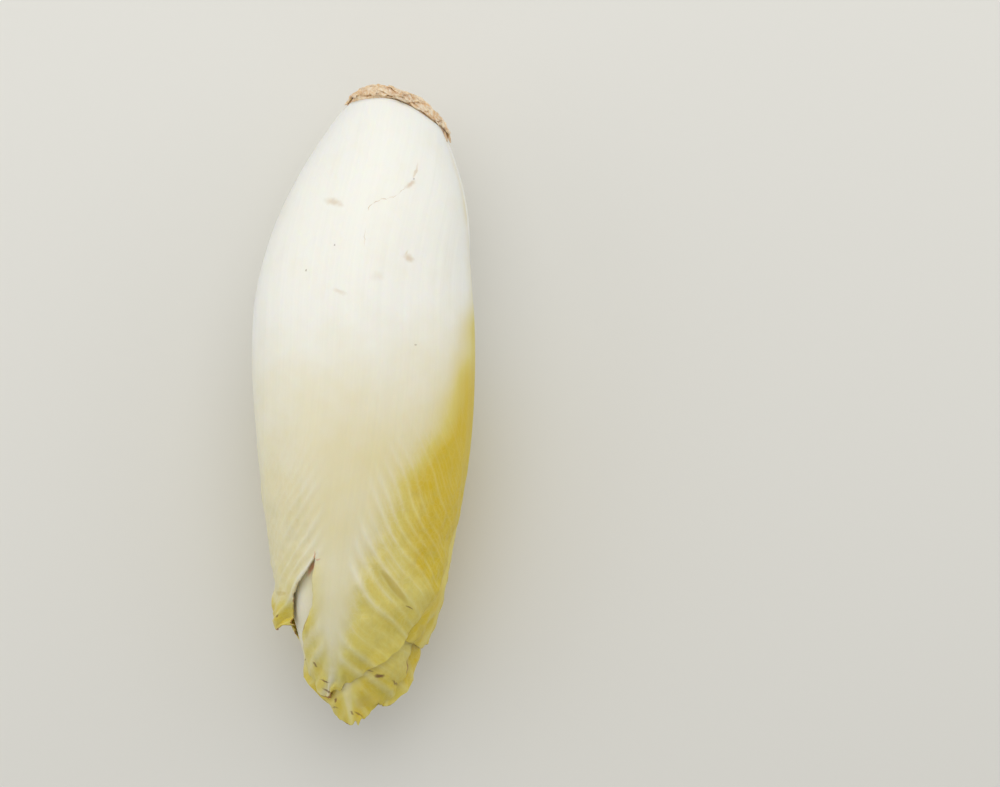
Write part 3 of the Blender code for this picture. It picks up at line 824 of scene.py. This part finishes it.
# %% Peeling shreds
SHREDS = (
    # turn, share of the dome, length, width, lift, twist; lengths in millimetres
    (-40, 0.70, 6.0, 1.8, 0.5, 0.3), (-22, 0.70, 5.5, 2.4, 0.8, -0.4),
    (-8, 0.60, 6.0, 2.2, 1.3, 0.3), (6, 0.66, 6.5, 2.8, 0.9, -0.3),
    (20, 0.58, 5.0, 2.0, 1.5, 0.6), (33, 0.68, 7.5, 2.6, 0.9, -0.5),
    (50, 0.74, 8.0, 2.2, 0.7, 0.3), (68, 0.80, 6.5, 1.6, 0.5, -0.3),
    (-60, 0.72, 5.0, 1.8, 0.5, -0.4), (-82, 0.76, 5.0, 1.6, 0.5, 0.3),
    (-108, 0.70, 6.0, 2.4, 0.9, -0.2), (-135, 0.66, 6.5, 2.2, 0.8, 0.5),
    (-160, 0.72, 5.5, 2.6, 0.7, -0.4), (172, 0.68, 6.0, 2.2, 0.8, 0.3),
    (146, 0.74, 5.0, 2.4, 0.8, -0.5), (118, 0.70, 6.5, 2.0, 0.7, 0.4),
    (92, 0.70, 5.5, 2.0, 0.8, -0.3), (2, 0.40, 4.5, 1.4, 2.0, 0.9),
    (44, 0.44, 4.5, 1.6, 1.2, -0.8), (-26, 0.42, 4.5, 1.4, 1.0, 0.7),
)
DOME_SIDE = 0.0085
SHRED_WAVE = 0.0003
SHRED_CLEARANCE = 0.0004
SHRED_THICKNESS = 0.0003


def add_shred(number, turn, share, length, width, lift, twist):
    """One curled shred, lying round the dome with its end lifted."""
    shred = flat_grid(f"shred_{number:02d}", 6, 16)
    flat = corners(shred)
    u, v = flat[:, 0], (flat[:, 1] + 1) / 2
    turn = math.radians(turn)
    outline = 0.25 + 0.75 * np.sin(math.pi * (0.12 + 0.80 * v))
    outline = outline * (1 + 0.3 * soft_noise(6 * v, u * 2, 60 + number))
    size = head_radius(turn, shoulder_line(np.array(turn)) * share)
    around = turn + (v - 0.5) * length * 0.001 / size
    up = share + 0.10 * twist * (v - 0.5) + u * outline * width * 0.001 / DOME_SIDE
    reach, radius = dome_point(around, up.clip(0.05, 1.02))
    curl = lift * 0.001 * (np.abs(2 * v - 1) ** 2 * 0.6 + 0.4 * np.abs(u) ** 2 * (u > 0))
    wave = SHRED_WAVE * soft_noise(7 * v, 2 * u, 90 + number)
    set_corners(shred, place(around, reach - 0.3 * curl, radius + SHRED_CLEARANCE + curl + wave))
    wall = shred.modifiers.new("wall", "SOLIDIFY")
    wall.thickness = SHRED_THICKNESS
    wall.offset = 0
    bpy.ops.object.modifier_apply(modifier=wall.name)
    return shred


shreds = [add_shred(number, *row) for number, row in enumerate(SHREDS)]
peel = joined("endive_peel", shreds[::-1])
finish_piece(peel, "stem")
print("shreds:", len(SHREDS), "faces:", len(peel.data.polygons))

# %% [markdown]
# ## Leaf tissue
#
# Leaf tissue is pale, slightly waxy and lets some light through. Its colour runs from ivory
# through cream to yellow, and to a greenish yellow at the tip. Veins stay white. The leaf
# pieces carry numbers that say where on the leaf each point is, and the material turns them
# into colour. One node group holds the tissue, and another paints a single small mark.

# %% A short way to add nodes
class Recipe:
    """Adds nodes to one tree and joins them."""

    def __init__(self, tree):
        self.tree = tree

    def add(self, kind, values=None, **settings):
        made = self.tree.nodes.new(kind)
        for name, value in settings.items():
            setattr(made, name, value)
        for socket, value in (values or {}).items():
            if isinstance(value, bpy.types.NodeSocket):
                self.tree.links.new(value, made.inputs[socket])
            else:
                made.inputs[socket].default_value = value
        return made

    def math(self, operation, *values):
        return self.add("ShaderNodeMath", dict(enumerate(values)), operation=operation).outputs[0]

    def times(self, first, second):
        return self.math("MULTIPLY", first, second)

    def plus(self, first, second):
        return self.math("ADD", first, second)

    def minus(self, first, second):
        return self.math("SUBTRACT", first, second)

    def vector(self, operation, *values, **named_values):
        values = {**dict(enumerate(values)), **named_values}
        return self.add("ShaderNodeVectorMath", values, operation=operation).outputs

    def smooth(self, value, low, high):
        """0 below low, 1 above high."""
        values = {"Value": value, "From Min": low, "From Max": high}
        return self.add("ShaderNodeMapRange", values, interpolation_type="SMOOTHSTEP").outputs[0]

    def mix(self, share, first, second):
        values = {0: share, 6: first, 7: second}
        return self.add("ShaderNodeMix", values, data_type="RGBA").outputs[2]

    def noise(self, vector, scale, detail=3.0):
        values = {"Vector": vector, "Scale": scale, "Detail": detail}
        return self.add("ShaderNodeTexNoise", values).outputs["Fac"]

    def stored(self, name):
        return self.add("ShaderNodeAttribute", attribute_name=name).outputs["Fac"]

    def bump(self, shader, height, strength, distance):
        values = {"Height": height, "Strength": strength, "Distance": distance}
        self.join(self.add("ShaderNodeBump", values).outputs[0], shader.inputs["Normal"])

    def join(self, output, socket):
        self.tree.links.new(output, socket)


def new_group(name, takes, gives):
    """A node group with named sockets: (name, kind, value)."""
    tree = bpy.data.node_groups.new(name, "ShaderNodeTree")
    for title, kind, value in takes:
        socket = tree.interface.new_socket(title, in_out="INPUT", socket_type=kind)
        if value is not None:
            socket.default_value = value
    for title, kind in gives:
        tree.interface.new_socket(title, in_out="OUTPUT", socket_type=kind)
    return tree, tree.nodes.new("NodeGroupInput").outputs, tree.nodes.new("NodeGroupOutput").inputs


def colour(red, green, blue):
    """Screen values from 0 to 255 to the linear colour that nodes take."""
    linear = lambda c: c / 12.92 if c <= 0.04045 else ((c + 0.055) / 1.055) ** 2.4
    return (linear(red / 255), linear(green / 255), linear(blue / 255), 1.0)


print("half grey:", [round(c, 3) for c in colour(128, 128, 128)])

# %% The mark group
FLOAT, VECTOR, RGB = "NodeSocketFloat", "NodeSocketVector", "NodeSocketColor"


def build_mark():
    """One small oval mark on the upper side, seen from above."""
    takes = [(name, VECTOR, None) for name in ("Place", "Middle", "Turn", "Size")]
    takes.append(("Softness", FLOAT, 0.5))
    tree, given, result = new_group("Small mark", takes, (("Mask", FLOAT),))
    make = Recipe(tree)
    moved = make.vector("SUBTRACT", given["Place"], given["Middle"])[0]
    turned = make.add("ShaderNodeVectorRotate", {"Vector": moved, "Rotation": given["Turn"]},
                      rotation_type="EULER_XYZ")
    sized = make.vector("DIVIDE", turned.outputs[0], given["Size"])[0]
    far = make.vector("LENGTH", sized)["Value"]
    edge = make.minus(1.0, given["Softness"])
    make.join(make.minus(1.0, make.smooth(far, edge, 1.0)), result["Mask"])
    return tree


mark_group = build_mark()
print("mark group nodes:", len(mark_group.nodes))

# %% The tissue group
IVORY = colour(245, 243, 234)
CREAM = colour(232, 222, 184)
YELLOW = colour(222, 205, 112)
DEEP_YELLOW = colour(212, 182, 8)
OLIVE = colour(196, 178, 84)
TIP_GREEN = colour(206, 192, 92)
VEIN_PALE = colour(239, 233, 206)
RIM_BROWN = colour(150, 108, 52)
SHADES = ((0.00, IVORY), (0.28, CREAM), (0.62, YELLOW), (1.00, DEEP_YELLOW))
NUMBERS = {
    "Gold": 0.3, "Along": 0.5, "Blade": 1.0, "Vein": 0.0, "Crest": 0.0, "Side": 0.0, "Rim": 9.0,
}


def ripening(make, gold):
    """Ivory to deep yellow."""
    scale = make.add("ShaderNodeValToRGB", {0: gold})
    steps = scale.color_ramp.elements
    while len(steps) < len(SHADES):
        steps.new(0.5)
    for step, (position, shade) in zip(steps, SHADES):
        step.position = position
        step.color = shade
    return scale.outputs[0]


def build_tissue():
    """Leaf colour, roughness and fine relief from the numbers that a leaf stores."""
    takes = [("Place", VECTOR, None)] + [(name, FLOAT, value) for name, value in NUMBERS.items()]
    gives = (("Colour", RGB), ("Roughness", FLOAT), ("Relief", FLOAT))
    tree, given, result = new_group("Leaf tissue", takes, gives)
    make = Recipe(tree)
    where, along = given["Place"], given["Along"]
    fine = make.noise(where, 900.0, 4.0)
    broad = make.noise(where, 120.0, 3.0)
    thin = make.times(make.smooth(given["Blade"], 0.6, 2.0), make.smooth(along, 0.40, 0.72))
    lines = tissue_lines(make, given, thin)
    paler = make.times(make.plus(given["Crest"], lines), 0.45)
    cloud = make.times(make.minus(broad, 0.5), 0.14)
    gold = make.times(make.plus(given["Gold"], cloud), make.minus(1.0, paler))
    tint = ripening(make, gold)
    mottle = make.smooth(make.noise(where, 300.0, 2.0), 0.48, 0.70)
    spots = make.times(mottle, make.times(thin, given["Gold"]))
    tint = make.mix(make.times(spots, 0.28), tint, OLIVE)
    greening = make.times(make.smooth(along, 0.82, 1.04), make.smooth(broad, 0.38, 0.62))
    tint = make.mix(make.times(greening, 0.6), tint, TIP_GREEN)
    tint = make.mix(make.times(given["Crest"], 0.55), tint, VEIN_PALE)
    thread = tissue_threads(make, given)
    dim = make.times(make.minus(thread, 0.5), 0.06)
    values = {"Color": tint, "Value": make.plus(1.0, dim)}
    tint = make.add("ShaderNodeHueSaturation", values).outputs[0]
    tint = make.mix(tissue_rim(make, given), tint, RIM_BROWN)
    rough = make.plus(0.34, make.times(fine, 0.16))
    relief = make.plus(make.times(fine, 0.35), make.times(thread, 0.8))
    relief = make.plus(relief, make.times(lines, 0.8))
    for value, socket in zip((tint, rough, relief), result):
        make.join(value, socket)
    return tree


def tissue_lines(make, given, thin):
    """Fine side veins and the net between them, only in the thin blade."""
    breaks = make.smooth(make.noise(given["Place"], 210.0, 2.0), 0.35, 0.65)
    lines = None
    for times, width, strength in ((2.0, 0.30, 0.34), (5.0, 0.34, 0.16)):
        part = make.math("FRACT", make.plus(make.times(given["Vein"], times), 0.5))
        off = make.math("ABSOLUTE", make.minus(part, 0.5))
        line = make.minus(1.0, make.smooth(off, 0.0, width))
        line = make.times(line, make.times(breaks, strength))
        lines = line if lines is None else make.math("MAXIMUM", lines, line)
    values = {"Vector": given["Place"], "Scale": 520.0}
    net = make.add("ShaderNodeTexVoronoi", values, feature="DISTANCE_TO_EDGE")
    mesh = make.minus(1.0, make.smooth(net.outputs["Distance"], 0.0, 0.12))
    return make.times(make.math("MAXIMUM", lines, make.times(mesh, 0.22)), thin)


def tissue_threads(make, given):
    """Fine lengthwise threads, as in all leaf stalks."""
    wide = {0: make.times(given["Side"], 1.3), 1: make.times(given["Along"], 5.0)}
    return make.noise(make.add("ShaderNodeCombineXYZ", wide).outputs[0], 1.0, 4.0)


def tissue_rim(make, given):
    """Brown on the very edge, in places, towards the tip."""
    patch = make.noise(given["Place"], 170.0, 2.0)
    width = make.times(make.smooth(patch, 0.52, 0.70), 0.7)
    edge = make.smooth(make.minus(width, given["Rim"]), -0.12, 0.20)
    return make.times(edge, make.smooth(given["Along"], 0.82, 0.93))


tissue_group = build_tissue()
print("tissue group nodes:", len(tissue_group.nodes))

# %% [markdown]
# ## Marks of handling, and painted shade
#
# Nothing that was picked and packed is spotless. The upper face has rubbed tan patches, a
# hairline crack, a pink stain where the leaf tore, and brown nicks along the crumpled tips.
# Olive patches are painted shade, in the short fold, in gaps between leaves and in a hollow
# at the tip.
# A table says where each mark is, and the leaf material places the mark group once for each.

# %% Tables of marks
SCUFFS = (
    # x, y, angle, half length, half width in millimetres and degrees, strength
    (-7.3, 55.0, -10, 3.4, 1.4, 0.42), (-5.4, 54.2, -20, 1.8, 0.9, 0.25),
    (13.7, 59.8, 40, 2.2, 1.0, 0.50), (15.0, 63.4, 75, 3.4, 0.5, 0.40),
    (13.4, 39.6, -30, 2.2, 1.3, 0.45), (12.6, 40.8, 60, 1.5, 0.5, 0.30),
    (-5.3, 30.4, -20, 2.8, 1.0, 0.25), (5.0, 34.5, 10, 2.8, 1.8, 0.12),
    (2.9, 53.5, 54, 1.6, 0.17, 0.75), (4.6, 55.0, 30, 1.5, 0.15, 0.75),
    (6.7, 55.7, 7, 1.6, 0.15, 0.70), (9.0, 56.3, 21, 1.7, 0.14, 0.60),
    (11.6, 58.1, 42, 2.6, 0.14, 0.45), (1.5, 45.0, 84, 3.4, 0.14, 0.45),
)
NICKS = (
    (-14.6, 36.3, 0, 0.40, 0.35, 0.6), (-6.7, 43.0, 0, 0.35, 0.35, 0.5),
    (14.6, 61.3, 30, 0.45, 0.4, 0.6), (15.2, 16.0, 0, 0.35, 0.3, 0.4),
    (-13.2, -72.6, -55, 1.2, 0.32, 0.75), (-10.7, -77.2, -16, 1.9, 0.28, 0.85),
    (-9.9, -80.2, -32, 2.4, 0.40, 0.75), (-7.8, -82.8, 80, 1.1, 0.45, 0.8),
    (2.2, -74.0, -12, 1.3, 0.35, 0.6), (4.7, -75.6, -10, 1.9, 0.75, 0.9),
    (8.8, -78.0, -60, 1.5, 0.55, 0.7), (-7.9, -85.0, -5, 1.4, 0.35, 0.55),
    (-1.4, -86.8, -38, 2.0, 0.35, 0.65), (-3.2, -86.4, -50, 0.9, 0.5, 0.7),
    (13.2, -56.2, -35, 1.5, 0.30, 0.7), (-24.0, -59.2, 50, 1.2, 0.35, 0.7),
)
WOUNDS = (
    (-13.7, -45.2, 62, 3.2, 0.9, 0.85), (-12.6, -41.6, 82, 1.6, 0.30, 0.8),
    (-11.6, -42.6, 10, 1.0, 0.30, 0.6),
)
# olive patches of painted shade: in the fold, in gaps between leaves, in the tip's hollow
PAINTED_SHADE_PATCHES = (
    (9.2, -50.3, -54, 6.9, 1.3, 0.55), (-23.0, -52.8, 10, 2.2, 0.8, 0.40),
    (15.9, -64.0, 75, 3.2, 1.2, 0.45), (1.5, -83.0, 0, 5.0, 2.2, 0.40),
    (-15.0, -62.0, 80, 4.0, 0.7, 0.25),
)
MARK_FRAYING = 0.0012
UPPER_SIDE = (0.024, 0.030)
print("marks:", len(SCUFFS + NICKS + WOUNDS + PAINTED_SHADE_PATCHES))


# %% Leaf material
LIGHT_DEPTHS = (0.004, 0.003, 0.0015)   # how deep red, green and blue light go, in metres


def add_marks(make, vector, table, softness):
    """The strongest of several marks at each point."""
    strongest = None
    for x, y, angle, length, width, strength in table:
        values = {"Place": vector, "Middle": (x / 1000, y / 1000, 0.03),
                  "Turn": (0, 0, -math.radians(angle)),
                  "Size": (length / 1000, width / 1000, 1.0), "Softness": softness}
        mark = make.add("ShaderNodeGroup", values, node_tree=mark_group)
        mask = make.times(mark.outputs[0], strength)
        strongest = mask if strongest is None else make.math("MAXIMUM", strongest, mask)
    return strongest


def new_material(name, roughness, subsurface=0.0):
    """A material with its shader's plain numbers set. Returns it with its recipe and shader."""
    material = bpy.data.materials.new(name)
    material.use_nodes = True
    shader = material.node_tree.nodes["Principled BSDF"]
    values = {"Roughness": roughness, "Subsurface Weight": subsurface,
              "Subsurface Radius": LIGHT_DEPTHS, "Subsurface Scale": 1.0}
    for socket, value in values.items():
        shader.inputs[socket].default_value = value
    return material, Recipe(material.node_tree), shader


def leaf_material(name, marked):
    material, make, shader = new_material(name, 0.4, 0.35)
    vector = make.add("ShaderNodeTexCoord").outputs["Object"]
    values = {name: make.stored(name.lower()) for name in NUMBERS}
    tissue = make.add("ShaderNodeGroup", {"Place": vector, **values}, node_tree=tissue_group)
    tint = tissue.outputs["Colour"]
    if marked:
        tint = marked_tint(make, vector, tint)
    make.join(tint, shader.inputs["Base Color"])
    make.join(tissue.outputs["Roughness"], shader.inputs["Roughness"])
    make.bump(shader, tissue.outputs["Relief"], 0.35, 0.0002)
    return material


def marked_tint(make, vector, tint):
    """The tissue's colour with every mark laid over it, on the upper side only."""
    ragged = make.add("ShaderNodeTexNoise", {"Vector": vector, "Scale": 700.0, "Detail": 3.0})
    stray = make.vector("SUBTRACT", ragged.outputs["Color"], (0.5, 0.5, 0.5))[0]
    stray = make.vector("SCALE", stray, Scale=MARK_FRAYING)[0]
    frayed = make.vector("ADD", vector, stray)[0]
    height = make.add("ShaderNodeSeparateXYZ", {0: vector}).outputs["Z"]
    upper = make.smooth(height, *UPPER_SIDE)
    # the olive kind is painted shade; scuffs, wounds and nicks are the leaf's own marks
    kinds = (
        (PAINTED_SHADE_PATCHES, vector, 0.45, colour(194, 170, 72)), (SCUFFS, frayed, 0.9, colour(198, 166, 120)),
        (WOUNDS, frayed, 0.8, colour(226, 160, 122)), (NICKS, frayed, 0.7, colour(116, 78, 36)),
    )
    for table, where, softness, shade in kinds:
        mask = make.times(add_marks(make, where, table, softness), upper)
        tint = make.mix(mask, tint, shade)
    return tint


endive_leaf = leaf_material("endive leaf", True)
for piece in leaves:
    piece.data.materials.append(endive_leaf)
heart.data.materials.append(leaf_material("endive heart", False))
print("leaf material nodes:", len(endive_leaf.node_tree.nodes))

# %% [markdown]
# ## The dried butt
#
# Cut tissue dries from tan to brown, darkest in its frayed edges. The middle of the cut
# stays paler, with a ring of small strands, where the leaves were fed.

# %% Butt and peel materials
PALE_CUT = colour(250, 234, 206)
TAN = colour(246, 218, 178)
BROWN = colour(226, 182, 132)
DARK_BROWN = colour(150, 100, 58)
STRANDS = 14.0
RING_SHARE = 0.22


def butt_material(name, dryness, cut):
    """Dried tissue in patches, with a grain along the head. The stem's also has a cut face."""
    material, make, shader = new_material(name, 0.75, 0.20)
    vector = make.add("ShaderNodeTexCoord").outputs["Object"]
    patches = make.noise(vector, 330.0, 5.0)
    along = make.add("ShaderNodeMapping", {"Vector": vector, "Scale": (1, 0.35, 1)}).outputs[0]
    grain = make.noise(along, 1500.0, 4.0)
    tint = make.mix(make.smooth(patches, 0.36, 0.62), TAN, BROWN)
    tint = make.mix(make.smooth(grain, 0.35, 0.75), tint, PALE_CUT)
    dark = make.times(make.smooth(make.noise(vector, 240.0, 4.0), 0.62, 0.72), dryness)
    tint = make.mix(dark, tint, DARK_BROWN)
    make.join(cut_face(make, tint) if cut else tint, shader.inputs["Base Color"])
    make.bump(shader, make.plus(patches, make.times(grain, 0.6)), 0.6, 0.0005)
    return material


def cut_face(make, tint):
    """A paler middle with a ring of strands, on the stem only."""
    share, turn = make.stored("cut"), make.stored("turn")
    middle = make.minus(1.0, make.smooth(share, 0.16, 0.36))
    tint = make.mix(make.times(middle, 0.7), tint, PALE_CUT)
    beads = make.math("SINE", make.times(turn, STRANDS))
    off_ring = make.math("ABSOLUTE", make.minus(share, RING_SHARE))
    band = make.minus(1.0, make.smooth(off_ring, 0.02, 0.06))
    strands = make.times(band, make.smooth(beads, 0.0, 0.8))
    return make.mix(make.times(strands, 0.6), tint, BROWN)


stem.data.materials.append(butt_material("endive butt", 0.75, True))
peel.data.materials.append(butt_material("endive peel", 0.9, False))
print("butt material nodes:", len(stem.data.materials[0].node_tree.nodes))

# %% [markdown]
# ## Floor, light and camera
#
# A plain pale floor and broad soft lamps show the form without hard shadows. The camera
# looks straight down, from far enough to flatten the head little.

# %% Floor
FLOOR_SIZE = 6
plane = bpy.ops.mesh.primitive_plane_add
floor = added("floor", plane, size=FLOOR_SIZE, location=(0, 0, cad_box[0][2]))
floor_material, make, shader = new_material("pale floor", 0.7)
shader.inputs["Base Color"].default_value = colour(226, 225, 219)
floor.data.materials.append(floor_material)
floor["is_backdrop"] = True

# %% Light
LAMPS = (
    # name, place, size, watts
    ("top lamp", (-0.02, 0.34, 0.56), 0.7, 1.72),
    ("right lamp", (0.50, 0.20, 0.24), 0.5, 0.50),
    ("left lamp", (-0.50, 0.12, 0.24), 0.5, 0.55),
)
for name, spot, size, watts in LAMPS:
    lamp = bpy.data.lights.new(name, "AREA")
    lamp.size = size
    lamp.energy = watts
    holder = bpy.data.objects.new(name, lamp)
    holder.location = spot
    holder.rotation_euler = Vector(spot).to_track_quat("Z", "Y").to_euler()
    bpy.context.scene.collection.objects.link(holder)
world = bpy.data.worlds.new("studio")
world.use_nodes = True
sky = world.node_tree.nodes["Background"].inputs
sky["Color"].default_value = (1.0, 0.99, 0.965, 1.0)
sky["Strength"].default_value = 0.56
bpy.context.scene.world = world
bpy.context.scene.view_settings.view_transform = "Standard"
print("lamps:", len(LAMPS))

# %% Camera
VIEW_WIDTH = 0.280
DISTANCE = 0.80
LEVEL = 0.030
SENSOR = 36
camera_data = bpy.data.cameras.new("camera")
camera_data.sensor_width = SENSOR
camera_data.lens = SENSOR * DISTANCE / VIEW_WIDTH
camera = bpy.data.objects.new("camera", camera_data)
camera.location = (0.0381, 0.0028, DISTANCE + LEVEL)
bpy.context.scene.collection.objects.link(camera)
bpy.context.scene.camera = camera
print("lens, mm:", round(camera_data.lens, 1))

# %% Sizes and finish
dressed_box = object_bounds()
[[list(map(float, corner)) for corner in box] for box in (cad_box, dressed_box)]
print("solid box:", cad_box, "dressed box:", dressed_box)
